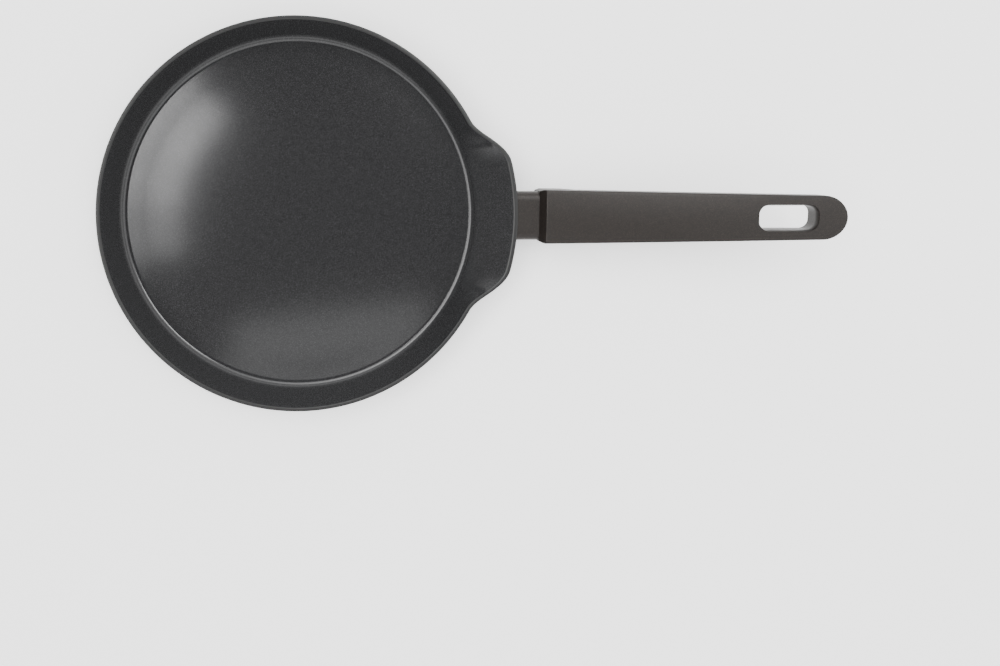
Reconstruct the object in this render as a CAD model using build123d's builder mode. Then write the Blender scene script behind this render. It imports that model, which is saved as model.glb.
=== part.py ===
"""Pancake pan: a shallow forged pan with a flared ear, a perforated base plate and a screwed-on handle.

The origin is the centre of the base's underside, +Z is up and +X runs towards the handle.
"""
from build123d import *
from math import acos, atan2, cos, hypot, radians, sin, tan
import os

os.makedirs("parts", exist_ok=True)

# Pan body
rim_radius = 140.0          # outside of the rim, away from the ear
body_height = 27.0
wall_lean = 22.0            # the wall's lean out from the vertical, in degrees
wall_thickness = 2.8        # measured level, at every height
floor_thickness = 4.2
foot_corner_radius = 14.0   # outside, from the base up to the wall
floor_corner_radius = 6.0   # inside, from the floor up to the wall

# Ear, the wall's wide flare at the handle
ear_reach = 16.5            # how far the ear stands out past the round rim
ear_half_angle = 14.2       # the ear's full radius is kept this far to each side
ear_blend_angle = 28.8      # the rim is round again from here on
ear_blend_points = 8

# Base plate and the pattern of its holes
plate_radius = 102.5
plate_thickness = 0.8
plate_recess = 0.15         # the plate lies this much above the ring that the pan stands on
plate_gap = 0.1
hole_rows = 9
first_row_radius = 26.1
row_pitch = 8.8
first_row_sixth = 3         # holes in a sixth of the innermost row; each row out has one more
pattern_turn = 35.3
hole_radius = 2.65
pip_radius = 1.8            # aluminium that stands in each hole, with a ring groove round it
medallion_radius = 21.4     # the plate's round middle opening

# Stud that is welded to the ear and takes the screw
screw_drop = 8.4            # from the rim's height down to the screw's line, which is level
stud_width = 22.0
stud_thickness = 10.4
stud_corner_radius = 5.0
stud_reach = 3.5            # its end past the ear's edge
thread_radius = 2.5
thread_gap = 0.05
thread_depth = 10.0         # how far the screw's bore goes into the stud
screw_end_gap = 0.5

# Ferrule, the sheet sleeve between ear and handle
ferrule_width = 34.6
ferrule_thickness = 13.6
ferrule_corner_radius = 6.5
ferrule_wall = 1.0
ferrule_slope = 5.0
ferrule_drop = 8.5          # its centre line below the rim, where it crosses ferrule_cross
ferrule_cross_inset = 11.5  # that place, measured inwards from the ear's edge
cut_inset = 38.5            # stud and ferrule start this far in from the ear's edge, then are cut to its shape

# Handle
handle_start = 14.5         # from the ear's edge to the handle's front
handle_length = 197.0
top_rise_front = 6.0        # the handle's top above the rim, at its front, middle and tip
top_rise_middle = 19.6
top_rise_tip = 30.8
front_width = 37.8
tip_round = 14.9            # radius of the tip in plan
collar_length = 19.0
collar_drop = 15.2          # the collar's lowest edge, below the rim
shoulder_length = 6.0
grip_thickness = 15.6
tip_thickness = 14.0
edge_radius = 0.9
belly_radius = 4.0
collar_edge_radius = 2.5
front_chamfer_length = 4.0
front_chamfer_depth = 1.0
socket_depth = 9.0
socket_gap = 0.1
spigot_gap = 0.2            # all round, inside the ferrule
spigot_end_gap = 0.4        # between the spigot and the stud
slot_length = 37.5
slot_width = 16.2
slot_corner_radius = 6.6
slot_to_tip = 18.0

# Screw and lock washer
head_radius = 4.2
head_height = 3.2
head_crown = 0.7
head_bore_radius = 4.6
head_bore_reach = 28.0
shank_bore_gap = 0.4
seat_depth = 13.0           # from the handle's front to the washer
washer_thickness = 1.3
washer_radius = 4.2
washer_gap = 0.1
washer_split = 1.0
cross_width = 1.1
cross_length = 4.6
cross_depth = 1.8
cut_margin = 20.0           # how far cutting shapes run past what they cut

# Places along the handle's line and heights, all from the rim and the ear
ear_radius = rim_radius + ear_reach
cut_start = ear_radius - cut_inset
stud_end = ear_radius + stud_reach
thread_start = stud_end - thread_depth
ferrule_cross = ear_radius - ferrule_cross_inset
handle_front = ear_radius + handle_start
handle_tip = handle_front + handle_length
screw_seat = handle_front + seat_depth
screw_height = body_height - screw_drop
ferrule_height = body_height - ferrule_drop
collar_bottom = body_height - collar_drop
handle_top_front = body_height + top_rise_front
handle_top_middle = body_height + top_rise_middle
handle_top_tip = body_height + top_rise_tip


def wall_offset(height):
    """How far the wall stands inside the rim at this height."""
    return (body_height - height) * tan(radians(wall_lean))


def corner_rise(radius):
    """Height of an arc that turns from level up into the wall."""
    return radius * (1 - sin(radians(wall_lean)))


def corner_run(radius):
    """Level reach of the same arc."""
    return radius * cos(radians(wall_lean))


def polar_point(radius, angle):
    return (radius * cos(radians(angle)), radius * sin(radians(angle)))


def rim_outline_radius(rim, ear, angle):
    """The outline's radius at an angle: ear, then a smooth step in the angle, then the round rim."""
    step = (abs(angle) - ear_half_angle) / (ear_blend_angle - ear_half_angle)
    step = min(max(step, 0.0), 1.0)
    return ear + (rim - ear) * step * step * (3 - 2 * step)


def rim_outline(rim, ear):
    """Closed outline with the ear, in five spans: ear, blend, two long arcs, blend."""
    blend = ear_blend_angle - ear_half_angle
    angles = [ear_half_angle + blend * i / ear_blend_points for i in range(ear_blend_points + 1)]
    left = [polar_point(rim_outline_radius(rim, ear, a), a) for a in angles]
    right = [(x, -y) for x, y in left]
    ThreePointArc(right[0], (ear, 0), left[0])
    Spline(*left, tangents=[polar_point(1, angles[0] + 90), polar_point(1, angles[-1] + 90)])
    ThreePointArc(left[-1], polar_point(rim, (ear_blend_angle + 180) / 2), (-rim, 0))
    ThreePointArc((-rim, 0), polar_point(rim, -(ear_blend_angle + 180) / 2), right[-1])
    Spline(*right[::-1], tangents=[polar_point(1, 90 - angles[-1]), polar_point(1, 90 - angles[0])])


def round_outline(radius):
    """The same five spans on a plain circle, so that the two outlines join span by span."""
    stops = [-ear_half_angle, ear_half_angle, ear_blend_angle, 180, 360 - ear_blend_angle, 360 - ear_half_angle]
    for start, end in zip(stops, stops[1:]):
        ThreePointArc(polar_point(radius, start), polar_point(radius, (start + end) / 2), polar_point(radius, end))


def bowl(bottom, corner, rim, ear, top):
    """A filled bowl: flat bottom and round corner by revolving, then the flared wall up to the rim."""
    bend_height = bottom + corner_rise(corner)
    bend_radius = rim - wall_offset(bend_height)
    flat_radius = bend_radius - corner_run(corner)
    with BuildPart() as shape:
        with BuildSketch(Plane.XZ):
            with BuildLine():
                Line((0, bottom), (flat_radius, bottom))
                RadiusArc((flat_radius, bottom), (bend_radius, bend_height), -corner)
                Polyline((bend_radius, bend_height), (0, bend_height), (0, bottom))
            make_face()
        revolve(axis=Axis.Z)
        with BuildSketch(Plane.XY.offset(bend_height)) as low:
            with BuildLine():
                round_outline(bend_radius)
            make_face()
        with BuildSketch(Plane.XY.offset(body_height)) as high:
            with BuildLine():
                rim_outline(rim, ear)
            make_face()
        loft(sections=[low.sketch, high.sketch], ruled=True)
        if top > body_height:
            with BuildSketch(Plane.XY.offset(body_height)):
                with BuildLine():
                    rim_outline(rim, ear)
                make_face()
            extrude(amount=top - body_height)
    return shape.part


def hole_places():
    """Six equal sectors: every row starts on the same six rays and holds one more hole a sector."""
    for row in range(hole_rows):
        radius = first_row_radius + row * row_pitch
        yield radius, 6 * (first_row_sixth + row)


def plate_face(outer, opening, middle):
    """A disc less its pattern of small round openings and its middle, as one face with round wires inside."""
    openings = [Wire(Edge.make_circle(middle))]
    for radius, count in hole_places():
        for place in PolarLocations(radius, count, start_angle=pattern_turn).local_locations:
            openings.append(Wire(Edge.make_circle(opening)).moved(place))
    return Face(Wire(Edge.make_circle(outer)), openings)


# Pan body: outside less inside, with the plate's pocket sunk into the underside round the pips
outer_bowl = bowl(0, foot_corner_radius, rim_radius, ear_radius, body_height)
inner_bowl = bowl(floor_thickness, floor_corner_radius, rim_radius - wall_thickness,
                  ear_radius - wall_thickness, body_height + 1)
pocket_depth = plate_recess + plate_thickness
with BuildPart() as pan_body:
    add(outer_bowl)
    add(inner_bowl, mode=Mode.SUBTRACT)
    with BuildSketch():
        add(plate_face(plate_radius + plate_gap, pip_radius, medallion_radius - plate_gap))
    extrude(amount=pocket_depth, mode=Mode.SUBTRACT)
    with BuildSketch():
        Circle(medallion_radius - plate_gap)
    extrude(amount=plate_recess, mode=Mode.SUBTRACT)
pan_body.part.label = "pan_body"

# Base plate: perforated steel, pressed up into the pocket
with BuildPart() as base_plate:
    with BuildSketch(Plane.XY.offset(plate_recess)):
        add(plate_face(plate_radius, hole_radius, medallion_radius))
    extrude(amount=plate_thickness)
base_plate.part.label = "base_plate"

# The sloping centre line that the stud, the ferrule and the handle's socket share
ferrule_plane = Plane(
    origin=(ferrule_cross, 0, ferrule_height),
    x_dir=(0, 1, 0),
    z_dir=(cos(radians(ferrule_slope)), 0, sin(radians(ferrule_slope))),
)


def along_ferrule(x):
    """Distance from the plane's origin to where its line reaches this x."""
    return (x - ferrule_cross) / cos(radians(ferrule_slope))


def oval(inset):
    """The ferrule's outline, drawn in by an inset or let out by a negative one."""
    RectangleRounded(ferrule_width - 2 * inset, ferrule_thickness - 2 * inset, ferrule_corner_radius - inset)


ferrule_end = handle_front + socket_depth - socket_gap

# Stud: a rounded block cut to the ear's underside and bored for the screw
with BuildPart() as handle_stud:
    with BuildSketch(ferrule_plane.offset(along_ferrule(cut_start))):
        RectangleRounded(stud_width, stud_thickness, stud_corner_radius)
    extrude(amount=along_ferrule(stud_end) - along_ferrule(cut_start))
    add(outer_bowl, mode=Mode.SUBTRACT)
    with BuildSketch(Plane.YZ.offset(thread_start)):
        with Locations((0, screw_height)):
            Circle(thread_radius + thread_gap)
    extrude(amount=stud_end + cut_margin - thread_start, mode=Mode.SUBTRACT)
handle_stud.part.label = "handle_stud"

# Ferrule: an oval sleeve, its near end cut to the ear's underside
with BuildPart() as ferrule:
    with BuildSketch(ferrule_plane.offset(along_ferrule(cut_start))):
        oval(0)
    extrude(amount=along_ferrule(ferrule_end) - along_ferrule(cut_start))
    with BuildSketch(ferrule_plane.offset(along_ferrule(cut_start))):
        oval(ferrule_wall)
    extrude(amount=along_ferrule(ferrule_end) - along_ferrule(cut_start), mode=Mode.SUBTRACT)
    add(outer_bowl, mode=Mode.SUBTRACT)
ferrule.part.label = "ferrule"

# Handle: its side view and its plan crossed, with a spigot inside the ferrule's end
collar_end = handle_front + collar_length
grip_start = collar_end + shoulder_length
side_plane = Plane(origin=(0, 0, 0), x_dir=(1, 0, 0), z_dir=(0, -1, 0))
top_line = Edge.make_three_point_arc(
    (handle_front, handle_top_front),
    ((handle_front + handle_tip) / 2, handle_top_middle),
    (handle_tip, handle_top_tip),
)


def share_at(x):
    return (x - handle_front) / (handle_tip - handle_front)


def top_height(x):
    return top_line.position_at(share_at(x)).Y


def taper_touch():
    """Where the handle's straight side touches the tip's round, worked out from the right triangles there."""
    reach = handle_tip - tip_round - (handle_front + front_chamfer_length)
    half = front_width / 2
    lean = acos(tip_round / hypot(half, reach)) - atan2(reach, half)
    return (handle_tip - tip_round + tip_round * sin(lean), tip_round * cos(lean))


def belly_height(x):
    """The grip's underside: its depth below the top line changes evenly from collar to tip."""
    share = (x - grip_start) / (handle_tip - grip_start)
    return top_height(x) - grip_thickness - (tip_thickness - grip_thickness) * share


def grip_side():
    """Side view of the grip, run forward to the handle's front: the curved top, the tip's end and the belly."""
    middle = (handle_front + handle_tip) / 2
    tip_under = (handle_tip, handle_top_tip - tip_thickness)
    front_under = (handle_front, belly_height(handle_front))
    add(top_line)
    Line((handle_tip, handle_top_tip), tip_under)
    ThreePointArc(tip_under, (middle, belly_height(middle)), front_under)
    Line(front_under, (handle_front, handle_top_front))


def collar_side():
    """Side view of the deeper collar and its shoulder, which reach up into the grip."""
    collar_rise = collar_length * tan(radians(ferrule_slope))
    inside = grip_thickness / 2
    Polyline((handle_front, collar_bottom), (collar_end, collar_bottom + collar_rise),
             (grip_start, belly_height(grip_start)), (grip_start, belly_height(grip_start) + inside),
             (handle_front, belly_height(handle_front) + inside), (handle_front, collar_bottom))


def handle_plan():
    """Plan: a chamfered front, straight sides that draw in a little, and a round tip."""
    touch_x, touch_y = taper_touch()
    front_half = front_width / 2 - front_chamfer_depth
    side_start = handle_front + front_chamfer_length
    Polyline((touch_x, -touch_y), (side_start, -front_width / 2), (handle_front, -front_half),
             (handle_front, front_half), (side_start, front_width / 2), (touch_x, touch_y))
    ThreePointArc((touch_x, touch_y), (handle_tip, 0), (touch_x, -touch_y))


slot_middle = handle_tip - slot_to_tip - slot_length / 2
slot_tangent = top_line.tangent_at(share_at(slot_middle))
slot_plane = Plane(
    origin=(slot_middle, 0, top_height(slot_middle)),
    x_dir=(slot_tangent.X, 0, slot_tangent.Y),
    z_dir=(-slot_tangent.Y, 0, slot_tangent.X),
)
socket_start = along_ferrule(handle_front) - cut_margin
with BuildPart() as grip:
    with BuildSketch(side_plane):
        with BuildLine():
            grip_side()
        make_face()
    extrude(amount=front_width, both=True)
    with BuildSketch():
        with BuildLine():
            handle_plan()
        make_face()
    extrude(amount=handle_top_tip + cut_margin, mode=Mode.INTERSECT)
    belly = grip.faces().filter_by(lambda face: face.normal_at().Z < -0.9)[0]
    fillet(belly.edges().filter_by(lambda edge: edge.center().X > handle_front + 1), belly_radius)
    fillet(grip.faces().sort_by(Axis.Z)[-1].edges(), edge_radius)
with BuildPart() as collar:
    with BuildSketch(side_plane):
        with BuildLine():
            collar_side()
        make_face()
    extrude(amount=front_width, both=True)
    with BuildSketch():
        with BuildLine():
            handle_plan()
        make_face()
    extrude(amount=handle_top_tip, mode=Mode.INTERSECT)
    collar_under = collar.faces().filter_by(lambda face: face.normal_at().Z < -0.9)[0]
    fillet(collar_under.edges().filter_by(lambda edge: abs(edge.center().Y) > thread_radius), collar_edge_radius)
with BuildPart() as handle:
    add(grip.part)
    add(collar.part)
    with BuildSketch(ferrule_plane.offset(socket_start)):
        oval(-socket_gap)
    extrude(amount=along_ferrule(handle_front + socket_depth) - socket_start, mode=Mode.SUBTRACT)
    with BuildSketch(ferrule_plane.offset(along_ferrule(stud_end) + spigot_end_gap)):
        oval(ferrule_wall + spigot_gap)
    extrude(amount=along_ferrule(handle_front + socket_depth + 1) - along_ferrule(stud_end) - spigot_end_gap)
    with BuildSketch(Plane.YZ.offset(stud_end - cut_margin)):
        with Locations((0, screw_height)):
            Circle(thread_radius + shank_bore_gap)
    extrude(amount=screw_seat + 1 - stud_end + cut_margin, mode=Mode.SUBTRACT)
    with BuildSketch(Plane.YZ.offset(screw_seat)):
        with Locations((0, screw_height)):
            Circle(head_bore_radius)
    extrude(amount=head_bore_reach, mode=Mode.SUBTRACT)
    with BuildSketch(slot_plane):
        RectangleRounded(slot_length, slot_width, slot_corner_radius)
    extrude(amount=grip_thickness + cut_margin, both=True, mode=Mode.SUBTRACT)
handle.part.label = "handle"

# Screw: a pan head with a cross recess, on one level line with the stud's bore
head_face = screw_seat + washer_thickness
with BuildPart() as handle_screw:
    with BuildSketch(Plane.YZ.offset(thread_start + screw_end_gap)):
        with Locations((0, screw_height)):
            Circle(thread_radius)
    extrude(amount=head_face - thread_start - screw_end_gap)
    with BuildSketch(Plane.YZ.offset(head_face)):
        with Locations((0, screw_height)):
            Circle(head_radius)
    extrude(amount=head_height)
    crown_edge = handle_screw.edges().filter_by(GeomType.CIRCLE).sort_by(Axis.X)[-1]
    fillet(crown_edge, head_crown)
    with BuildSketch(Plane.YZ.offset(head_face + head_height)):
        with Locations((0, screw_height)):
            Rectangle(cross_length, cross_width)
            Rectangle(cross_width, cross_length)
    extrude(amount=-cross_depth, mode=Mode.SUBTRACT)
handle_screw.part.label = "handle_screw"

# Lock washer: a split ring, pressed flat under the screw's head
with BuildPart() as lock_washer:
    with BuildSketch(Plane.YZ.offset(screw_seat)):
        with Locations((0, screw_height)):
            Circle(washer_radius)
            Circle(thread_radius + washer_gap, mode=Mode.SUBTRACT)
        with Locations((0, screw_height + washer_radius / 2)):
            Rectangle(washer_split, washer_radius, mode=Mode.SUBTRACT)
    extrude(amount=washer_thickness)
lock_washer.part.label = "lock_washer"

for piece in (pan_body, base_plate, handle_stud, ferrule, handle, handle_screw, lock_washer):
    export_step(piece.part, f"parts/{piece.part.label}.step")
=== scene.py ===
"""Pancake pan: coated body with an ear, perforated base plate, ferrule and handle, seen from above."""

import bmesh
import bpy
import numpy as np
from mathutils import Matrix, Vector


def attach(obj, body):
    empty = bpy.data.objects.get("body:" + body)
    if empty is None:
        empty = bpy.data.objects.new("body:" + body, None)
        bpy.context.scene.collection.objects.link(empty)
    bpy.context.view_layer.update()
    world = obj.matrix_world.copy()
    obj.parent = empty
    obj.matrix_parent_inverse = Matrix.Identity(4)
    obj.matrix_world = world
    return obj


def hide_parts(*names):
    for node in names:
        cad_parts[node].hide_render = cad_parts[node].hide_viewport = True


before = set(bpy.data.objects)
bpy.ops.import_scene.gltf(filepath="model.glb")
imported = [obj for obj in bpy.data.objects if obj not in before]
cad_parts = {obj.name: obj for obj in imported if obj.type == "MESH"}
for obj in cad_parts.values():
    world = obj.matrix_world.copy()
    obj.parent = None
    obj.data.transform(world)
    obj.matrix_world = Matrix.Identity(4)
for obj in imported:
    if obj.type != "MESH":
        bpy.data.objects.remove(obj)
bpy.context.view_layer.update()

MM = 0.001

# Pan body, in millimetres
RIM_RADIUS = 140.0
BODY_HEIGHT = 27.0
WALL_LEAN = np.radians(22.0)
WALL_THICKNESS = 2.8
FLOOR_THICKNESS = 4.2
FOOT_CORNER = 14.0
FLOOR_CORNER = 6.0
EAR_RADIUS = 156.5
EAR_HALF_ANGLE = 14.2
EAR_BLEND_ANGLE = 28.8
RIM_ROUND = 0.8             # how far the rim land's two edges are rounded
BODY_COLUMNS = 720
FOOT_ROW = 112.0            # radius of the mesh row on the flat foot outside the plate
UNDER_PLATE_ROWS = (80.0, 50.0)
MIDDLE_ROWS = (14.0, 7.0, 0.0)
EDGE_STEPS = ((0.0, 0.2), (0.1, 0.06), (0.3, 0.0))      # a small rounded edge: away from its wall, and off its face

# Base plate and pips
PLATE_RADIUS = 102.5
PLATE_LOW = 0.15
PLATE_HIGH = 0.95
PLATE_GAP = 0.1
PLATE_ROUND = 0.3
ROWS = 9
FIRST_ROW_RADIUS = 26.1
ROW_PITCH = 8.8
FIRST_ROW_HOLES = 18
HOLES_MORE_EACH_ROW = 6
PATTERN_TURN = np.radians(35.3)
HOLE_RADIUS = 2.65
HOLE_LIP = 0.2              # rounding of the plate's edge round each hole
PIP_RADIUS = 1.8
PIP_SIDES = 16
PIP_EDGE = ((0.0, 0.25), (0.08, 0.07), (0.3, 0.0))      # a pip's rounded foot: in from its side, and height
MEDALLION_RADIUS = 21.4
CELL_REACH = 3.9            # a hole's cell reaches this far in and out from its row's circle
CELL_SIDE = 5               # steps along each side of a cell

# Ferrule
FERRULE_WIDTH = 34.6
FERRULE_THICKNESS = 13.6
FERRULE_CORNER = 5.2
FERRULE_WALL = 1.0
FERRULE_SLOPE = np.radians(5.0)
FERRULE_CROSS = np.array([145.0, 0.0, 18.5])
FERRULE_END = 179.9
EAR_GAP = 0.25              # the dark line left between the ferrule and the ear

# Handle
HANDLE_FRONT = 171.0
HANDLE_TIP = 368.0
TOP_FRONT, TOP_MIDDLE, TOP_TIP = 33.0, 46.6, 57.8
FRONT_WIDTH = 37.8
TIP_ROUND = 14.9
COLLAR_END = 190.0
COLLAR_BOTTOM = 11.8
GRIP_START = 196.0
GRIP_THICKNESS = 15.6
TIP_THICKNESS = 14.0
TOP_EDGE = 0.9
TOP_CROWN = 0.9             # how much lower the top is at its sides than along its middle
BELLY_EDGE = 4.0
COLLAR_EDGE = 2.5
FRONT_EDGE = 0.3
FRONT_CHAMFER_LENGTH = 2.6
FRONT_CHAMFER_DEPTH = 1.2
FRONT_LEAN_LOW = 28.0       # height at which the front face starts to lean back
FRONT_LEAN_TOP = 174.6      # where the leaning face meets the top
FRONT_LEAN_ROUND = 0.35
SHOULDER_ROUND = 1.2
SOCKET_DEPTH = 8.0
SOCKET_GAP = 0.1
SLOT_LENGTH = 36.2
SLOT_WIDTH = 16.4
SLOT_CORNER = 6.0
SLOT_TO_TIP = 18.9
SLOT_CHAMFER = 0.8
SLOT_CHAMFER_DROP = 1.9
SLOT_SHIFT_LENGTH = 40.0    # before the slot, the underside's rows shift over this length to square with the top
BORE_RADIUS = 4.6
BORE_HEIGHT = 18.6
BORE_START, BORE_END = 184.0, 212.0

# Coatings: scales of their noises and flakes, per metre
CLOUD_SCALE = 1300
FLAKE_SCALE = 4200
ROUGHNESS_SCALE = 1500
ROUGHNESS_SPREAD = 0.04

# Light, in metres and watts
FLOOR_REACH = 4
FLOOR_GREY = 0.93
FLOOR_GLOW = 0.6
SKY_STRENGTH = 9.5
BRIGHT_SIDE = (-0.85, 0.53, 0.0)        # where the sky's band is strongest
SOFTBOXES = (                           # name, place, target, size and power
    ("left_softbox_1", (-0.385, 0.095, 1.5), (-0.09, -0.17, 0), (0.168, 0.115), 0.72),
    ("left_softbox_2", (-0.464, -0.04, 1.5), (-0.09, -0.17, 0), (0.168, 0.115), 0.64),
    ("left_softbox_3", (-0.485, -0.196, 1.5), (-0.09, -0.17, 0), (0.168, 0.115), 0.34),
    ("front_softbox", (0.002, -0.527, 1.5), (-0.058, 0, 0), (0.59, 0.16), 0.6),
    ("handle_softbox", (0.50, 0.32, 1.5), (0.27, 0, 0.05), (0.5, 0.3), 6.8),
)

# Camera, in metres, radians and picture pixels
CAMERA_PLACE = (0.0317, 0.0581, 0.5201)
CAMERA_TURN = (-0.1048, -0.0111, -0.0107)
FOCAL_PIXELS = 708.2
AXIS_PIXEL = (347.9, 209.8)            # where the lens axis meets the picture
PICTURE_SIZE = (1000, 666)
SENSOR_WIDTH = 36


# Mesh helpers
def grid_faces(rows, columns, ring=False):
    """Quads between neighbouring rows of a grid numbered row by row; a ring joins its last column to its first."""
    row, column = np.meshgrid(np.arange(rows - 1), np.arange(columns if ring else columns - 1), indexing="ij")
    after = (column + 1) % columns
    corners = [row * columns + column, row * columns + after, (row + 1) * columns + after,
               (row + 1) * columns + column]
    return np.stack(corners, axis=-1).reshape(-1, 4)


def joined(patches):
    """Several (points, faces) patches as one, each patch's faces numbered on from the last."""
    points, faces, count = [], [], 0
    for patch_points, patch_faces in patches:
        flat = np.asarray(patch_points, float).reshape(-1, 3)
        points.append(flat)
        faces.extend((np.asarray(patch_faces) + count).tolist())
        count += len(flat)
    return np.concatenate(points), faces


def grid_patch(points, ring=False):
    """A rows x columns x 3 array of points with its quads."""
    return points, grid_faces(points.shape[0], points.shape[1], ring)


def put_piece(name, patches, material, sharp=35.0):
    """Patches in millimetres become one smooth-shaded object at the origin that rides on the pan.

    Points that coincide are merged, flat leftovers go, and the outside is worked out again.
    """
    points, faces = joined(patches)
    mesh = bpy.data.meshes.new(name)
    mesh.from_pydata((points * MM).tolist(), [], faces)
    work = bmesh.new()
    work.from_mesh(mesh)
    bmesh.ops.remove_doubles(work, verts=work.verts, dist=1e-7)
    bmesh.ops.dissolve_degenerate(work, dist=1e-7, edges=work.edges)
    bmesh.ops.recalc_face_normals(work, faces=work.faces)
    work.to_mesh(mesh)
    work.free()
    mesh.shade_smooth()
    mesh.set_sharp_from_angle(angle=np.radians(sharp))
    mesh.materials.append(material)
    piece = bpy.data.objects.new(name, mesh)
    bpy.context.scene.collection.objects.link(piece)
    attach(piece, "root")
    return piece


def smooth_step(t):
    """3t^2 - 2t^3, with t held between 0 and 1."""
    t = np.clip(t, 0, 1)
    return t * t * (3 - 2 * t)


def bezier(start, corner, end, steps):
    """Quadratic curve (1-t)^2 start + 2t(1-t) corner + t^2 end, at steps + 1 even values of t down a new axis."""
    t = np.linspace(0, 1, steps + 1).reshape(-1, *([1] * np.ndim(start)))
    return (1 - t) ** 2 * start + 2 * t * (1 - t) * corner + t ** 2 * end


# Materials
def node_tree(name):
    """An empty material with a principled shader on its output."""
    material = bpy.data.materials.new(name)
    material.use_nodes = True
    nodes, links = material.node_tree.nodes, material.node_tree.links
    nodes.clear()
    output = nodes.new("ShaderNodeOutputMaterial")
    shader = nodes.new("ShaderNodeBsdfPrincipled")
    links.new(shader.outputs[0], output.inputs["Surface"])
    return material, nodes, links, shader


def object_place(nodes):
    return nodes.new("ShaderNodeTexCoord").outputs["Object"]


def noise(nodes, links, place, scale, detail=3.0, rough=0.5):
    texture = nodes.new("ShaderNodeTexNoise")
    texture.inputs["Scale"].default_value = scale
    texture.inputs["Detail"].default_value = detail
    texture.inputs["Roughness"].default_value = rough
    links.new(place, texture.inputs["Vector"])
    return texture.outputs["Fac"]


def ramp(nodes, links, value, stops):
    """A ramp through (position, grey) stops."""
    node = nodes.new("ShaderNodeValToRGB")
    while len(node.color_ramp.elements) < len(stops):
        node.color_ramp.elements.new(0.5)
    for element, (position, grey) in zip(node.color_ramp.elements, stops):
        element.position = position
        element.color = (grey, grey, grey, 1)
    links.new(value, node.inputs["Fac"])
    return node.outputs["Color"]


def mixed(nodes, links, share, first, second, blend="MIX"):
    node = nodes.new("ShaderNodeMix")
    node.data_type = "RGBA"
    node.blend_type = blend
    for socket, value in ((node.inputs["Factor"], share), (node.inputs["A"], first), (node.inputs["B"], second)):
        if isinstance(value, bpy.types.NodeSocket):
            links.new(value, socket)
        elif socket.type == "RGBA":
            socket.default_value = (*value, 1)
        else:
            socket.default_value = value
    return node.outputs["Result"]


def bump(nodes, links, height, strength, distance):
    node = nodes.new("ShaderNodeBump")
    node.inputs["Strength"].default_value = strength
    node.inputs["Distance"].default_value = distance
    links.new(height, node.inputs["Height"])
    return node.outputs["Normal"]


def flakes(nodes, links, place, scale, share):
    """Sparkle: the cells of a fine Voronoi pattern whose random grey is above 1 - share."""
    cells = nodes.new("ShaderNodeTexVoronoi")
    cells.inputs["Scale"].default_value = scale
    links.new(place, cells.inputs["Vector"])
    grey = nodes.new("ShaderNodeSeparateColor")
    links.new(cells.outputs["Color"], grey.inputs[0])
    return ramp(nodes, links, grey.outputs[0], [(1 - share, 0.0), (1.0, 1.0)])


def speckled_coating(name, dark, light, flake, flake_share, metallic, roughness, grain, grain_depth):
    """Coating: a dark and a lighter shade clouded by noise, bright flakes in it, and a fine sprayed grain."""
    material, nodes, links, shader = node_tree(name)
    place = object_place(nodes)
    clouds = noise(nodes, links, place, CLOUD_SCALE, detail=4, rough=0.6)
    colour = mixed(nodes, links, ramp(nodes, links, clouds, [(0.3, 0.0), (0.7, 1.0)]), dark, light)
    sparkle = flakes(nodes, links, place, FLAKE_SCALE, flake_share)
    colour = mixed(nodes, links, sparkle, colour, flake)
    links.new(colour, shader.inputs["Base Color"])
    shader.inputs["Metallic"].default_value = metallic
    rough_noise = noise(nodes, links, place, ROUGHNESS_SCALE, detail=3)
    least, most = roughness - ROUGHNESS_SPREAD, roughness + ROUGHNESS_SPREAD
    rough = ramp(nodes, links, rough_noise, [(0.3, least), (0.7, most)])
    links.new(rough, shader.inputs["Roughness"])
    fine = noise(nodes, links, place, grain, detail=2)
    links.new(bump(nodes, links, fine, 0.35, grain_depth), shader.inputs["Normal"])
    return material


def inside_coating():
    return speckled_coating("non_stick_inside", (0.0148, 0.0149, 0.0155), (0.0206, 0.0207, 0.0215),
                            (0.050, 0.050, 0.052), 0.30, 0.1, 0.14, 2000, 0.000006)


def outside_coating():
    return speckled_coating("matte_outside", (0.020, 0.0193, 0.0188), (0.025, 0.0241, 0.0235),
                            (0.055, 0.054, 0.053), 0.25, 0.2, 0.50, 2200, 0.00002)


def plate_coating():
    return speckled_coating("base_plate_coating", (0.027, 0.0264, 0.026), (0.034, 0.0333, 0.0328),
                            (0.065, 0.064, 0.063), 0.25, 0.2, 0.48, 2200, 0.00002)


def handle_lacquer(name):
    return speckled_coating(name, (0.0063, 0.0046, 0.0037), (0.0094, 0.0069, 0.0056),
                            (0.027, 0.0199, 0.0161), 0.35, 0.3, 0.41, 1900, 0.00002)


def ground_rim():
    """The rim's ground land: greyer than the coating, with fine turned lines round the pan's axis."""
    material, nodes, links, shader = node_tree("ground_rim")
    place = object_place(nodes)
    rings = nodes.new("ShaderNodeTexWave")
    rings.wave_type = "RINGS"
    rings.rings_direction = "Z"
    rings.inputs["Scale"].default_value = 500
    rings.inputs["Distortion"].default_value = 0.4
    links.new(place, rings.inputs["Vector"])
    colour = mixed(nodes, links, rings.outputs["Fac"], (0.018, 0.018, 0.018), (0.027, 0.027, 0.027))
    links.new(colour, shader.inputs["Base Color"])
    shader.inputs["Metallic"].default_value = 0.4
    shader.inputs["Roughness"].default_value = 0.34
    links.new(bump(nodes, links, rings.outputs["Fac"], 0.15, 0.00002), shader.inputs["Normal"])
    return material


def plain_metal(name, colour, roughness):
    """Bare metal with a fine uneven grain."""
    material, nodes, links, shader = node_tree(name)
    place = object_place(nodes)
    fine = noise(nodes, links, place, 1200)
    links.new(mixed(nodes, links, fine, colour, tuple(c * 0.8 for c in colour)), shader.inputs["Base Color"])
    shader.inputs["Metallic"].default_value = 1.0
    shader.inputs["Roughness"].default_value = roughness
    links.new(bump(nodes, links, fine, 0.2, 0.00002), shader.inputs["Normal"])
    return material


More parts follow.
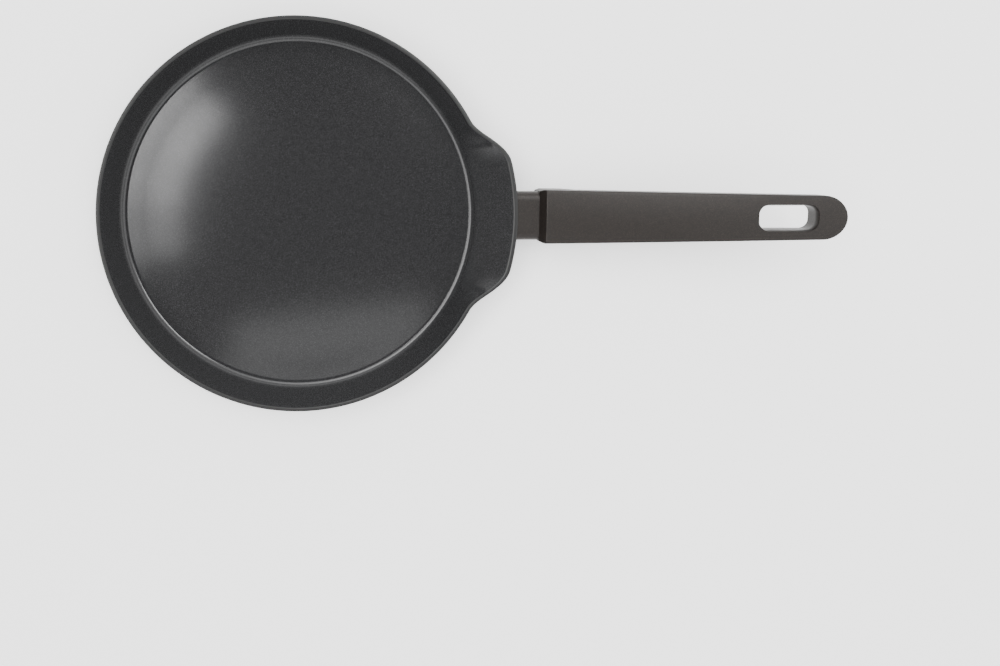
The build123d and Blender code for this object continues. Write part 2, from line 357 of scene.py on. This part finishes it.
# Pan body
def outline_radius(angle):
    """The ear's radius within its half angle, then a smooth step in the angle down to the round rim's."""
    turned = np.abs((angle + np.pi) % (2 * np.pi) - np.pi)
    step = (np.degrees(turned) - EAR_HALF_ANGLE) / (EAR_BLEND_ANGLE - EAR_HALF_ANGLE)
    return EAR_RADIUS + (RIM_RADIUS - EAR_RADIUS) * smooth_step(step)


def corner_arc(flat_radius, bottom, corner, steps):
    """Radius and height of an arc that turns from a level floor up into the leaning wall."""
    turn = np.linspace(0, np.pi / 2 - WALL_LEAN, steps + 1)
    return flat_radius + corner * np.sin(turn), bottom + corner * (1 - np.cos(turn))


def flat_radius(rim, bottom, corner):
    """Radius at which a flat bottom ends, worked back from the rim down the wall and round the corner."""
    bend_height = bottom + corner * (1 - np.sin(WALL_LEAN))
    return rim - (BODY_HEIGHT - bend_height) * np.tan(WALL_LEAN) - corner * np.cos(WALL_LEAN)


def body_rows(angle):
    """The body's profile at every angle: radius and height, from the middle of the floor over the rim to the base.

    Below the bend the rows are circles; the wall's rows go straight from the bend's circle to the rim's outline.
    """
    outer_rim = outline_radius(angle)
    inner_rim = outer_rim - WALL_THICKNESS
    same = np.ones_like(angle)
    rows = []

    def circles(radii, heights):
        rows.extend(np.stack([radius * same, height * same], axis=-1) for radius, height in zip(radii, heights))

    inner_flat = flat_radius(RIM_RADIUS - WALL_THICKNESS, FLOOR_THICKNESS, FLOOR_CORNER)
    floor = np.linspace(0, inner_flat, 12)
    circles(floor, np.full(12, FLOOR_THICKNESS))
    arc_r, arc_z = corner_arc(inner_flat, FLOOR_THICKNESS, FLOOR_CORNER, 12)
    circles(arc_r[1:], arc_z[1:])
    bend = np.stack([arc_r[-1] * same, arc_z[-1] * same], axis=-1)
    top_in = np.stack([inner_rim, BODY_HEIGHT * same], axis=-1)
    up = (top_in - bend) / np.linalg.norm(top_in - bend, axis=1, keepdims=True)
    wall_end = top_in - up * RIM_ROUND
    rows.extend(bend + (wall_end - bend) * t for t in np.linspace(0, 1, 11)[1:])
    land_in = top_in + [RIM_ROUND, 0]
    rows.extend(bezier(wall_end, top_in, land_in, 4)[1:])
    top_out = np.stack([outer_rim, BODY_HEIGHT * same], axis=-1)
    land_out = top_out - [RIM_ROUND, 0]
    rows.extend(land_in + (land_out - land_in) * t for t in (0.33, 0.67, 1.0))

    outer_flat = flat_radius(RIM_RADIUS, 0, FOOT_CORNER)
    arc_r, arc_z = corner_arc(outer_flat, 0, FOOT_CORNER, 14)
    bend = np.stack([arc_r[-1] * same, arc_z[-1] * same], axis=-1)
    down = (bend - top_out) / np.linalg.norm(bend - top_out, axis=1, keepdims=True)
    wall_start = top_out + down * RIM_ROUND
    rows.extend(bezier(land_out, top_out, wall_start, 4)[1:])
    rows.extend(wall_start + (bend - wall_start) * t for t in np.linspace(0, 1, 11)[1:-1])
    circles(arc_r[::-1], arc_z[::-1])

    pocket = PLATE_RADIUS + PLATE_GAP
    middle = MEDALLION_RADIUS - PLATE_GAP
    away, off = np.array(EDGE_STEPS).T
    circles([FOOT_ROW, *(pocket + away[::-1]), pocket], [0, *off[::-1], PLATE_HIGH])
    circles([*UNDER_PLATE_ROWS, middle, *(middle - away), *MIDDLE_ROWS],
            [PLATE_HIGH] * 3 + [*(PLATE_LOW + off)] + [PLATE_LOW] * 3)
    return np.stack(rows)


def body_patch():
    """The profile rows turned round the axis, x = r cos a and y = r sin a, with the floor and base poles merged."""
    angle = np.arange(BODY_COLUMNS) * 2 * np.pi / BODY_COLUMNS
    rows = body_rows(angle)
    radius, height = rows[..., 0], rows[..., 1]
    points = np.stack([radius * np.cos(angle), radius * np.sin(angle), height], axis=-1)
    return grid_patch(points, ring=True)


def row_holes(row):
    """Radius, count and angles of one row; all rows start on the same six rays."""
    count = FIRST_ROW_HOLES + HOLES_MORE_EACH_ROW * row
    return FIRST_ROW_RADIUS + ROW_PITCH * row, count, PATTERN_TURN + np.arange(count) * 2 * np.pi / count


def pips_patch():
    """Small turned studs: rings of a fixed profile round each hole's centre, each closed at both ends."""
    root = PLATE_HIGH + PLATE_GAP
    foot = [[PIP_RADIUS - inwards, height] for inwards, height in PIP_EDGE]
    profile = np.array([[0, root], [PIP_RADIUS, root], *foot, [0, 0]])
    turn = np.arange(PIP_SIDES) * 2 * np.pi / PIP_SIDES
    ring = np.stack([profile[:, :1] * np.cos(turn), profile[:, :1] * np.sin(turn),
                     np.repeat(profile[:, 1:], PIP_SIDES, axis=1)], axis=-1)
    centres = np.concatenate([np.stack([r * np.cos(a), r * np.sin(a), 0 * a], axis=-1)
                              for r, _, a in map(row_holes, range(ROWS))])
    points = centres[:, None, None, :] + ring
    faces = grid_faces(len(profile), PIP_SIDES, ring=True)
    start = np.arange(len(centres)) * len(profile) * PIP_SIDES
    return points, (faces + start[:, None, None]).reshape(-1, 4)


def paint_body(mesh):
    """Finish by place: the rim's land, then all that faces into the pan, and the rest is the outside."""
    count = len(mesh.polygons)
    centre, normal = np.empty(count * 3), np.empty(count * 3)
    mesh.polygons.foreach_get("center", centre)
    mesh.polygons.foreach_get("normal", normal)
    centre, normal = centre.reshape(-1, 3) / MM, normal.reshape(-1, 3)
    land = centre[:, 2] > BODY_HEIGHT - RIM_ROUND * 0.9
    facing_in = (normal[:, 2] > 0) & (centre[:, 2] > FLOOR_THICKNESS - 0.5)
    mesh.polygons.foreach_set("material_index", np.where(land, 2, np.where(facing_in, 0, 1)).astype(np.int32))


# Base plate
def cell_border():
    """Border of a cell as steps round a square from -1 to 1, counter-clockwise, without its last point."""
    side = np.linspace(-1, 1, CELL_SIDE + 1)[:-1]
    one = np.ones(CELL_SIDE)
    return np.concatenate([np.stack([side, -one], 1), np.stack([one, side], 1),
                           np.stack([-side, one], 1), np.stack([-one, -side], 1)])


def plate_cells(row):
    """One row of cells: a border mapped to a sector, and rings that close in to the hole and run up its wall.

    On the border the angle is the cell's plus u times half a cell, and the radius the row's plus v times its reach.
    The hole's points lie in the same directions from its centre as the border's.
    """
    radius, count, places = row_holes(row)
    u, v = cell_border().T
    half = np.pi / count
    border_angle = places[:, None] + u * half
    border_radius = (radius + v * CELL_REACH) * np.ones_like(border_angle)
    border = np.stack([border_radius * np.cos(border_angle), border_radius * np.sin(border_angle)], axis=-1)
    centre = np.stack([radius * np.cos(places), radius * np.sin(places)], axis=-1)[:, None, :]
    away = border - centre
    away /= np.linalg.norm(away, axis=-1, keepdims=True)
    lip = HOLE_RADIUS + HOLE_LIP
    bend = HOLE_LIP * 0.3
    rings = [(border, PLATE_LOW), (centre + away * lip, PLATE_LOW),
             (centre + away * (HOLE_RADIUS + bend), PLATE_LOW + bend),
             (centre + away * HOLE_RADIUS, PLATE_LOW + HOLE_LIP),
             (centre + away * HOLE_RADIUS, PLATE_HIGH), (border, PLATE_HIGH)]
    points = np.stack([np.concatenate([ring, np.full((*ring.shape[:2], 1), z)], axis=-1) for ring, z in rings],
                      axis=1)
    faces = grid_faces(len(rings), 4 * CELL_SIDE, ring=True)
    start = np.arange(count) * len(rings) * 4 * CELL_SIDE
    return points, (faces + start[:, None, None]).reshape(-1, 4)


def circle_points(radius, angles, height):
    return np.stack([radius * np.cos(angles), radius * np.sin(angles), np.full(len(angles), height)], axis=-1)


def border_angles(row):
    """Angles of the points that a row's cells share on their circles, in order."""
    _, count, places = row_holes(row)
    steps = count * CELL_SIDE
    return places[0] - np.pi / count + np.arange(steps) * 2 * np.pi / steps


def strip_between(inner, outer):
    """Triangles between two circles of points at unlike angles.

    The points are taken in order of angle, and each one makes a triangle with the next point on its own circle and
    the latest one on the other.
    """
    inner_turn = np.arctan2(inner[:, 1], inner[:, 0]) % (2 * np.pi)
    outer_turn = np.arctan2(outer[:, 1], outer[:, 0]) % (2 * np.pi)
    inner, outer = inner[np.argsort(inner_turn)], outer[np.argsort(outer_turn)]
    turns = np.concatenate([np.sort(inner_turn), np.sort(outer_turn) + 1e-9])
    order = np.argsort(turns, kind="stable")
    is_inner = order < len(inner)
    passed_inner = np.cumsum(is_inner)
    passed_outer = np.cumsum(~is_inner)
    a = (passed_inner - 1) % len(inner)
    b = (passed_outer - 1) % len(outer) + len(inner)
    before_a = (passed_inner - 2) % len(inner)
    before_b = (passed_outer - 2) % len(outer) + len(inner)
    faces = np.where(is_inner[:, None], np.stack([before_a, a, b], 1), np.stack([a, b, before_b], 1))
    return np.concatenate([inner, outer]), faces


def plate_patches():
    """Rows of hole cells, strips between the rows, and the rounded inner and outer edges, below and above."""
    patches = [plate_cells(row) for row in range(ROWS)]
    for row in range(ROWS - 1):
        inner_radius = FIRST_ROW_RADIUS + ROW_PITCH * row + CELL_REACH
        outer_radius = FIRST_ROW_RADIUS + ROW_PITCH * (row + 1) - CELL_REACH
        for height in (PLATE_LOW, PLATE_HIGH):
            patches.append(strip_between(circle_points(inner_radius, border_angles(row), height),
                                         circle_points(outer_radius, border_angles(row + 1), height)))
    round_off = PLATE_ROUND
    edge = [(0, PLATE_LOW), (round_off * 0.7, PLATE_LOW + 0.03), (round_off, PLATE_LOW + round_off),
            (round_off, PLATE_HIGH), (0, PLATE_HIGH)]
    for row, way, radius in ((0, -1, MEDALLION_RADIUS), (ROWS - 1, 1, PLATE_RADIUS)):
        angles = border_angles(row)
        cell_edge = FIRST_ROW_RADIUS + ROW_PITCH * row + way * CELL_REACH
        rings = [circle_points(cell_edge, angles, PLATE_LOW)]
        rings += [circle_points(radius + way * (out - round_off), angles, z) for out, z in edge]
        rings += [circle_points(cell_edge, angles, PLATE_HIGH)]
        patches.append(grid_patch(np.stack(rings), ring=True))
    return patches


# Ferrule
def round_rectangle_reach(half_width, half_height, corner, across, up):
    """How far a rounded rectangle's edge is from its middle in the unit directions (across, up).

    The ray meets a side where its other coordinate is short of the corner, and otherwise the corner's circle, where
    the distance t solves |t d - c| = r with c the circle's middle.
    """
    across, up = np.abs(across), np.abs(up)
    tiny = 1e-12
    to_side = half_width / np.maximum(across, tiny)
    to_top = half_height / np.maximum(up, tiny)
    along = across * (half_width - corner) + up * (half_height - corner)
    apart = (half_width - corner) ** 2 + (half_height - corner) ** 2 - corner ** 2
    to_corner = along + np.sqrt(np.maximum(along ** 2 - apart, 0))
    reach = np.where(up * to_side <= half_height - corner, to_side, to_corner)
    return np.where(across * to_top <= half_width - corner, to_top, reach)


def ferrule_section(inset, count):
    """Points round the ferrule's rounded rectangle at even steps of its own turning angle."""
    half_width, half_height = FERRULE_WIDTH / 2 - inset, FERRULE_THICKNESS / 2 - inset
    corner = FERRULE_CORNER - inset
    turn = np.arange(count) * 2 * np.pi / count
    across, up = np.cos(turn) * half_width, np.sin(turn) * half_height
    size = np.hypot(across, up)
    reach = round_rectangle_reach(half_width, half_height, corner, across / size, up / size)
    return across / size * reach, up / size * reach


def ferrule_point(along, across, up):
    """Place of a point: the crossing point, plus along the slope, across in y and up square to the slope."""
    slope = np.array([np.cos(FERRULE_SLOPE), 0, np.sin(FERRULE_SLOPE)])
    side = np.array([0, 1.0, 0])
    lift = np.array([-np.sin(FERRULE_SLOPE), 0, np.cos(FERRULE_SLOPE)])
    along, across, up = np.broadcast_arrays(along, across, up)
    return FERRULE_CROSS + along[..., None] * slope + across[..., None] * side + up[..., None] * lift


def meet_ear(across, up):
    """Distance along the slope at which each of the section's lines meets the ear's underside, by halving.

    The ear's underside is the cone r = bend radius + (z - bend height) times its flare.
    """
    bend_height = FOOT_CORNER * (1 - np.sin(WALL_LEAN))
    bend_radius = RIM_RADIUS - (BODY_HEIGHT - bend_height) * np.tan(WALL_LEAN)
    flare = (EAR_RADIUS - bend_radius) / (BODY_HEIGHT - bend_height)
    low, high = np.full(across.shape, -30.0), np.full(across.shape, 30.0)
    for _ in range(40):
        middle = (low + high) / 2
        place = ferrule_point(middle, across, up)
        outside = np.hypot(place[:, 0], place[:, 1]) > bend_radius + (place[:, 2] - bend_height) * flare
        low, high = np.where(outside, low, middle), np.where(outside, middle, high)
    return high


def ferrule_patches():
    """A sleeve: the section carried down the slope outside, back inside, and a thin ring at each end."""
    count = 128
    share = np.linspace(0, 1, 31)[:, None]
    end = (FERRULE_END - FERRULE_CROSS[0]) / np.cos(FERRULE_SLOPE)
    skins = []
    for inset in (0, FERRULE_WALL):
        across, up = ferrule_section(inset, count)
        start = meet_ear(across, up) + EAR_GAP
        skins.append(ferrule_point(start + (end - start) * share, across, up))
    outer, inner = skins
    return [grid_patch(outer, ring=True), grid_patch(inner, ring=True),
            grid_patch(np.stack([outer[0], inner[0]]), ring=True),
            grid_patch(np.stack([outer[-1], inner[-1]]), ring=True)]


# Handle
def arc_through(x, first, middle, last):
    """Height on the circle through three (x, z) points: its centre from two chords' midlines, then z = cz +- root."""
    (x1, z1), (x2, z2), (x3, z3) = first, middle, last
    matrix = np.array([[x2 - x1, z2 - z1], [x3 - x2, z3 - z2]])
    right = np.array([x2 ** 2 - x1 ** 2 + z2 ** 2 - z1 ** 2, x3 ** 2 - x2 ** 2 + z3 ** 2 - z2 ** 2]) / 2
    centre_x, centre_z = np.linalg.solve(matrix, right)
    radius = np.hypot(x1 - centre_x, z1 - centre_z)
    return centre_z + np.sign(z2 - centre_z) * np.sqrt(radius ** 2 - (x - centre_x) ** 2)


def top_height(x):
    middle = (HANDLE_FRONT + HANDLE_TIP) / 2
    return arc_through(x, (HANDLE_FRONT, TOP_FRONT), (middle, TOP_MIDDLE), (HANDLE_TIP, TOP_TIP))


def front_line():
    """Side view of the leaning front face: a straight line that a small round bend joins to the top's arc."""
    low = np.array([HANDLE_FRONT, FRONT_LEAN_LOW])
    edge = np.array([FRONT_LEAN_TOP, top_height(FRONT_LEAN_TOP)])
    back = np.array([FRONT_LEAN_TOP + FRONT_LEAN_ROUND, top_height(FRONT_LEAN_TOP + FRONT_LEAN_ROUND)])
    down = (low - edge) / np.linalg.norm(low - edge)
    return np.concatenate([[low + down * 0.5], bezier(edge + down * FRONT_LEAN_ROUND, edge, back, 4)])


FRONT_LINE = front_line()


def cut_top(place):
    """Height of the top at (x, y): its line, cut by the leaning front face, less a crown that grows as y^2."""
    x, y = place[..., 0], place[..., 1]
    line = np.where(x < FRONT_LINE[-1, 0], np.interp(x, FRONT_LINE[:, 0], FRONT_LINE[:, 1]), top_height(x))
    return line - TOP_CROWN * (y / (FRONT_WIDTH / 2)) ** 2


def belly_height(x):
    """The grip's underside: its depth below the top changes evenly from the collar to the tip."""
    share = (x - GRIP_START) / (HANDLE_TIP - GRIP_START)
    return top_height(x) - GRIP_THICKNESS - (TIP_THICKNESS - GRIP_THICKNESS) * share


def underside_line():
    """Side view of the underside: the collar's slope, the shoulder and the belly, joined by small round bends."""
    collar_rise = (COLLAR_END - HANDLE_FRONT) * np.tan(FERRULE_SLOPE)
    low = np.array([COLLAR_END, COLLAR_BOTTOM + collar_rise])
    high = np.array([GRIP_START, belly_height(GRIP_START)])
    front = np.array([HANDLE_FRONT, COLLAR_BOTTOM])
    back = np.array([GRIP_START + 3, belly_height(GRIP_START + 3)])

    def towards(start, end):
        return start + (end - start) / np.linalg.norm(end - start) * SHOULDER_ROUND

    bend_low = bezier(towards(low, front), low, towards(low, high), 6)
    bend_high = bezier(towards(high, low), high, towards(high, back), 6)
    beyond = np.linspace(GRIP_START + 3, HANDLE_TIP + 2, 200)
    return np.concatenate([[front - [1, np.tan(FERRULE_SLOPE)]], bend_low, bend_high,
                           np.stack([beyond, belly_height(beyond)], axis=-1)])


UNDERSIDE = underside_line()


def under_height(x):
    return np.interp(x, UNDERSIDE[:, 0], UNDERSIDE[:, 1])


def belly_round(x):
    return np.interp(x, [COLLAR_END, GRIP_START], [COLLAR_EDGE, BELLY_EDGE])


def slot_outline(grow):
    """Half of the slot's plan, y from 0 up and back to 0: straight end, corner, side, corner and straight end."""
    half_length, half_width, corner = SLOT_LENGTH / 2 + grow, SLOT_WIDTH / 2 + grow, SLOT_CORNER + grow
    turn = np.linspace(0, np.pi / 2, 11)
    corner_x, corner_y = half_length - corner, half_width - corner
    front = np.stack([-corner_x - corner * np.cos(turn), corner_y + corner * np.sin(turn)], axis=-1)
    side_x = np.linspace(-corner_x, corner_x, 14)[1:-1]
    side = np.stack([side_x, np.full(len(side_x), half_width)], axis=-1)
    back = front[::-1] * [-1, 1]
    middle_x = HANDLE_TIP - SLOT_TO_TIP - SLOT_LENGTH / 2
    half = np.concatenate([[[-half_length, 0]], front, side, back, [[half_length, 0]]])
    return half + [middle_x, 0]


def handle_stations():
    """Where the skin's cross rows leave the outline: outline points, outward normals, front insets and slot marks.

    The outline runs from the chamfered front down the straight side and round the tip to its middle.
    """
    reach = HANDLE_TIP - TIP_ROUND - (HANDLE_FRONT + FRONT_CHAMFER_LENGTH)
    half = FRONT_WIDTH / 2
    lean = np.arccos(TIP_ROUND / np.hypot(half, reach)) - np.arctan2(reach, half)
    turn = np.linspace(0, np.pi / 2, 5)
    front_x = HANDLE_FRONT + FRONT_EDGE * (1 - np.sin(turn))
    front_inset = FRONT_EDGE * (1 - np.cos(turn))
    slot = slot_outline(SLOT_CHAMFER)
    before = np.concatenate([HANDLE_FRONT + np.arange(1, 4), FRONT_LINE[1:, 0], [FRONT_LINE[-1, 0] + 0.15],
                             np.linspace(HANDLE_FRONT + 6, COLLAR_END - 3, 6),
                             np.arange(COLLAR_END - 2, GRIP_START + 3, 0.3),
                             np.linspace(GRIP_START + 4, slot[0, 0] - 2, 56)])
    touch = HANDLE_TIP - TIP_ROUND + TIP_ROUND * np.sin(lean)
    straight = np.concatenate([before, slot[1:-1, 0], [(slot[-1, 0] + touch) / 2]])
    x = np.concatenate([front_x[::-1], straight])
    chamfer = np.clip((x - HANDLE_FRONT) / FRONT_CHAMFER_LENGTH, 0, 1)
    y = np.where(x < HANDLE_FRONT + FRONT_CHAMFER_LENGTH, half - FRONT_CHAMFER_DEPTH * (1 - chamfer),
                 half - np.tan(lean) * (x - HANDLE_FRONT - FRONT_CHAMFER_LENGTH))
    inset = np.concatenate([front_inset[::-1], np.zeros(len(straight))])
    normal = np.tile([np.sin(lean), np.cos(lean)], (len(x), 1))
    tip = np.linspace(np.pi / 2 - lean, 0, 33)
    tip_normal = np.stack([np.cos(tip), np.sin(tip)], axis=-1)
    tip_points = [HANDLE_TIP - TIP_ROUND, 0] + TIP_ROUND * tip_normal
    points = np.concatenate([np.stack([x, y - inset], axis=-1), tip_points])
    normals = np.concatenate([normal, tip_normal])
    insets = np.concatenate([inset, np.zeros(len(tip))])
    slot_first = len(front_x) + len(before)
    return points, normals, insets, slot_first, slot_first + len(slot) - 3


def handle_patches():
    """Half of the handle, y above 0: skin, centre strips, slot wall, front face and socket; and its mirror image.

    Each station's row runs in from the top's middle line or the slot, out over the top, down the side and back in
    under the belly. Heights come from the top's and the underside's lines at each point's own x.
    """
    outline, normal, inset, first, last = handle_stations()
    count = len(outline)
    x = outline[:, 0]
    edge_turn = np.linspace(0, np.pi / 2, 6)

    def on_outline(inwards):
        return outline[:, None, :] - normal[:, None, :] * np.asarray(inwards)[..., None]

    top_in = on_outline(np.tile(TOP_EDGE * (1 - np.sin(edge_turn)), (count, 1)))
    top_z = cut_top(top_in) - TOP_EDGE * (1 - np.cos(edge_turn)) - inset[:, None]
    belly = belly_round(x)[:, None]
    belly_turn = np.linspace(0, np.pi / 2, 9)
    under_in = on_outline(belly * (1 - np.cos(belly_turn)))
    under_z = under_height(under_in[..., 0]) + belly * (1 - np.sin(belly_turn)) + inset[:, None]
    side_share = np.linspace(0, 1, 8)[1:-1]
    side_xy = np.repeat(outline[:, None, :], len(side_share), axis=1)
    side_z = top_z[:, -1:] + (under_z[:, :1] - top_z[:, -1:]) * side_share

    border = np.stack([top_in[:, 0, 0], np.minimum(SLOT_WIDTH / 2 - SLOT_CORNER, top_in[:, 0, 1] * 0.3)], axis=-1)
    slot_top = slot_outline(SLOT_CHAMFER)
    border[first:last + 1] = slot_top[1:-1]
    slope = np.arctan((top_height(x[last]) - top_height(x[first])) / (x[last] - x[first]))
    depth = top_height(border[:, 0]) - under_height(border[:, 0])
    near_slot = smooth_step((x - x[first]) / SLOT_SHIFT_LENGTH + 1)
    near_slot = near_slot * smooth_step((HANDLE_TIP - x) / (HANDLE_TIP - x[last]))
    low_border = border + np.stack([depth * np.tan(slope) * near_slot, np.zeros(count)], axis=-1)
    belly_end = HANDLE_TIP - TIP_ROUND + np.sqrt((TIP_ROUND - BELLY_EDGE) ** 2 - low_border[:, 1] ** 2)
    low_border[:, 0] = np.minimum(low_border[:, 0], belly_end)

    across = np.linspace(0, 1, 11)[:, None]
    top_xy = border[:, None, :] + (top_in[:, :1] - border[:, None, :]) * across[:-1]
    low_xy = under_in[:, -1:] + (low_border[:, None, :] - under_in[:, -1:]) * across[1:]
    top_flat_z = cut_top(top_xy) - inset[:, None]
    low_flat_z = under_height(low_xy[..., 0]) + inset[:, None]
    plan = np.concatenate([top_xy, top_in, side_xy, under_in, low_xy], axis=1)
    heights = np.concatenate([top_flat_z, top_z, side_z, under_z, low_flat_z], axis=1)
    skin = np.concatenate([plan, heights[..., None]], axis=-1)

    def to_middle(points):
        return np.stack([points * [1, 0, 1], points], axis=1)

    def between_middles(points):
        """A row of points, with its two ends brought to the handle's middle as well."""
        return np.concatenate([points[:1] * [1, 0, 1], points, points[-1:] * [1, 0, 1]])

    patches = [grid_patch(skin)]
    for part in (slice(0, first + 1), slice(last, count)):
        patches += [grid_patch(to_middle(skin[part, 0])), grid_patch(to_middle(skin[part, -1]))]

    rim_in = slot_outline(0)
    slot_rows = between_middles(skin[first:last + 1, 0])
    low_rows = between_middles(skin[first:last + 1, -1])
    lean_in = [SLOT_CHAMFER * np.sin(slope), 0]
    low_shift = (low_rows - slot_rows)[:, :1] * [1, 0]
    wall_top = np.concatenate([rim_in + lean_in, slot_rows[:, 2:] - SLOT_CHAMFER_DROP], axis=1)
    wall_low = np.concatenate([rim_in + low_shift - lean_in, low_rows[:, 2:] + SLOT_CHAMFER], axis=1)
    wall = [wall_top + (wall_low - wall_top) * t for t in np.linspace(0, 1, 6)]
    patches.append(grid_patch(np.stack([slot_rows, *wall, low_rows], axis=1)))

    face = between_middles(skin[0])
    middle = FERRULE_CROSS + (HANDLE_FRONT - FERRULE_CROSS[0]) * np.array([1, 0, np.tan(FERRULE_SLOPE)])
    out = face[:, 1:] - middle[1:]
    out /= np.linalg.norm(out, axis=1, keepdims=True)
    reach = round_rectangle_reach(FERRULE_WIDTH / 2 + SOCKET_GAP, FERRULE_THICKNESS / 2 + SOCKET_GAP,
                                  FERRULE_CORNER + SOCKET_GAP, out[:, 0], out[:, 1])
    mouth = np.concatenate([np.full((len(face), 1), HANDLE_FRONT), middle[1:] + out * reach[:, None]], axis=1)
    back = mouth + SOCKET_DEPTH * np.array([1, 0, np.tan(FERRULE_SLOPE)])
    pole = np.tile(middle + SOCKET_DEPTH * np.array([1, 0, np.tan(FERRULE_SLOPE)]), (len(face), 1))
    patches.append(grid_patch(np.stack([face, (face + mouth) / 2, mouth, back, pole])))
    mirrored = [(np.asarray(points) * [1, -1, 1], faces) for points, faces in patches]
    return patches + mirrored


def bore_patches():
    """A plain round cutter on the screw's level line."""
    turn = np.arange(48) * 2 * np.pi / 48
    ring = np.stack([0 * turn, np.cos(turn), np.sin(turn)], axis=-1)
    rows = [(BORE_START, 0), (BORE_START, BORE_RADIUS), (BORE_END, BORE_RADIUS), (BORE_END, 0)]
    return [grid_patch(np.stack([ring * radius + [x, 0, BORE_HEIGHT] for x, radius in rows]), ring=True)]


def cut_bore(piece, material):
    """Takes the screw's bore out of the handle and keeps the result as its mesh."""
    cutter = put_piece("bore_cutter", bore_patches(), material)
    cut = piece.modifiers.new("screw_bore", "BOOLEAN")
    cut.operation = "DIFFERENCE"
    cut.solver = "EXACT"
    cut.object = cutter
    bpy.context.view_layer.update()
    done = bpy.data.meshes.new_from_object(piece.evaluated_get(bpy.context.evaluated_depsgraph_get()))
    piece.modifiers.clear()
    piece.data = done
    bpy.data.objects.remove(cutter)
    done.set_sharp_from_angle(angle=np.radians(35))


# Finishes and pieces
inside = inside_coating()
outside = outside_coating()
rim = ground_rim()
body = put_piece("coated_body", [body_patch(), pips_patch()], inside, sharp=30)
body.data.materials.append(outside)
body.data.materials.append(rim)
paint_body(body.data)
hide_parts("pan_body")

plate = put_piece("perforated_plate", plate_patches(), plate_coating(), sharp=40)
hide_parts("base_plate")

ferrule = put_piece("ferrule_sleeve", ferrule_patches(), handle_lacquer("ferrule_lacquer"))
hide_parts("ferrule")

lacquer = handle_lacquer("handle_lacquer")
grip = put_piece("long_handle", handle_patches(), lacquer)
cut_bore(grip, lacquer)
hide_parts("handle")

screw_metal = plain_metal("screw_metal", (0.42, 0.42, 0.43), 0.35)
for node in ("handle_screw", "lock_washer"):
    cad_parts[node].data.materials.clear()
    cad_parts[node].data.materials.append(screw_metal)
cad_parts["handle_stud"].data.materials.clear()
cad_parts["handle_stud"].data.materials.append(plain_metal("stud_metal", (0.5, 0.5, 0.51), 0.5))


# Stage
def pale_floor():
    mesh = bpy.data.meshes.new("floor")
    corners = [(x * FLOOR_REACH, y * FLOOR_REACH, 0) for x, y in ((-1, -1), (1, -1), (1, 1), (-1, 1))]
    mesh.from_pydata(corners, [], [(0, 1, 2, 3)])
    floor = bpy.data.objects.new("floor", mesh)
    bpy.context.scene.collection.objects.link(floor)
    material, nodes, links, shader = node_tree("pale_floor")
    shader.inputs["Base Color"].default_value = (FLOOR_GREY, FLOOR_GREY, FLOOR_GREY, 1)
    shader.inputs["Roughness"].default_value = 0.9
    shader.inputs["Emission Color"].default_value = (1, 1, 1, 1)
    shader.inputs["Emission Strength"].default_value = FLOOR_GLOW
    mesh.materials.append(material)


def soft_light(name, place, target, size, power):
    """A rectangular area light at place, turned towards target."""
    data = bpy.data.lights.new(name, "AREA")
    data.shape = "RECTANGLE"
    data.size, data.size_y = size
    data.energy = power
    lamp = bpy.data.objects.new(name, data)
    lamp.location = place
    lamp.rotation_euler = (Vector(target) - Vector(place)).to_track_quat("-Z", "Y").to_euler()
    bpy.context.scene.collection.objects.link(lamp)


def studio_dome():
    """World light: a bright band half-way up, stronger on the left, and a dim horizon that is darkest at the left.

    The camera itself sees a plain pale backdrop instead of the band.
    """
    world = bpy.data.worlds.new("studio")
    world.use_nodes = True
    nodes, links = world.node_tree.nodes, world.node_tree.links
    direction = nodes.new("ShaderNodeTexCoord").outputs["Generated"]
    height = nodes.new("ShaderNodeSeparateXYZ")
    links.new(direction, height.inputs[0])
    band = ramp(nodes, links, height.outputs["Z"], [(0.58, 0.0), (0.69, 1.0), (0.88, 1.0), (0.94, 0.0)])
    horizon = ramp(nodes, links, height.outputs["Z"], [(0.48, 0.21), (0.60, 0.0)])

    def towards(way, stops):
        turned = nodes.new("ShaderNodeVectorMath")
        turned.operation = "DOT_PRODUCT"
        links.new(direction, turned.inputs[0])
        turned.inputs[1].default_value = way
        return ramp(nodes, links, turned.outputs["Value"], stops)

    side = towards(BRIGHT_SIDE, [(0.0, 0.27), (0.35, 0.5), (0.65, 1.0)])
    beside = towards((-1, 0, 0), [(0.5, 1.0), (0.82, 0.1)])
    lit = mixed(nodes, links, 1.0, mixed(nodes, links, 1.0, band, side, blend="MULTIPLY"),
                mixed(nodes, links, 1.0, horizon, beside, blend="MULTIPLY"), blend="ADD")
    ray = nodes.new("ShaderNodeLightPath")
    seen = mixed(nodes, links, ray.outputs["Is Camera Ray"], lit, (0.5, 0.5, 0.5))
    links.new(seen, nodes["Background"].inputs["Color"])
    nodes["Background"].inputs["Strength"].default_value = SKY_STRENGTH
    bpy.context.scene.world = world


pale_floor()
for softbox in SOFTBOXES:
    soft_light(*softbox)
studio_dome()

# Camera: above the pan and turned a little towards -Y, its frame shifted so that the pan sits where it does in the
# photograph
camera_data = bpy.data.cameras.new("camera")
camera_data.sensor_width = SENSOR_WIDTH
camera_data.lens = FOCAL_PIXELS * SENSOR_WIDTH / PICTURE_SIZE[0]
camera_data.shift_x = (PICTURE_SIZE[0] / 2 - AXIS_PIXEL[0]) / PICTURE_SIZE[0]
camera_data.shift_y = (AXIS_PIXEL[1] - PICTURE_SIZE[1] / 2) / PICTURE_SIZE[0]
camera_data.clip_start = 0.01
camera = bpy.data.objects.new("camera", camera_data)
camera.location = CAMERA_PLACE
camera.rotation_euler = CAMERA_TURN
bpy.context.scene.collection.objects.link(camera)
bpy.context.scene.camera = camera
